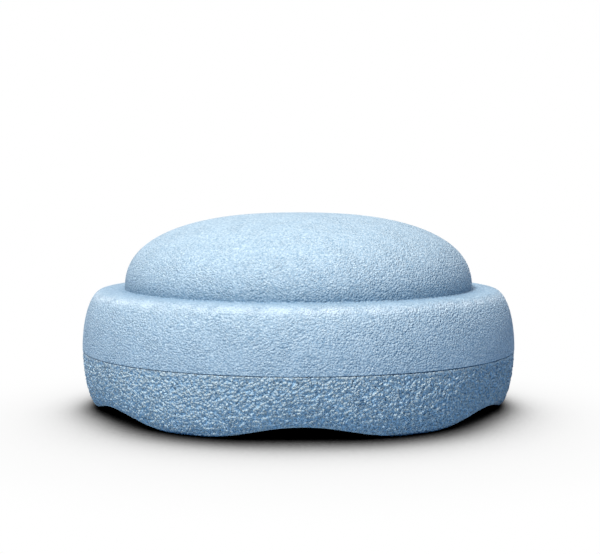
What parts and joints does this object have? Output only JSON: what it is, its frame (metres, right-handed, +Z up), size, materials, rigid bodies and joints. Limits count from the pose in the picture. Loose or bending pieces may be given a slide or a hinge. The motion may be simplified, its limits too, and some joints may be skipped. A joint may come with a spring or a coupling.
{
  "type": "balance stepping stone",
  "caption": "Round foam stepping stone: a low dome on a broad ring with a ledge, wavy grip feet and a deep hollow underside that nests over the next stone's dome.",
  "frame": {"origin": "on the floor, below the middle of the dome", "axes": "+Z up along the axis of the dome; a foot's middle lies on +X, and an arch's middle on -Y, which is the side the picture shows"},
  "size_m": [0.275, 0.275, 0.122],
  "materials": {
    "fine_foam": "pale blue rigid bead foam, steam-moulded against a fine-grained tool",
    "grip_foam": "the same pale blue bead foam with a coarse raised anti-slip grain"
  },
  "bodies": {
    "root": {"upper_stone": "fine_foam", "grip_base": "grip_foam"}
  },
  "joints": []
}
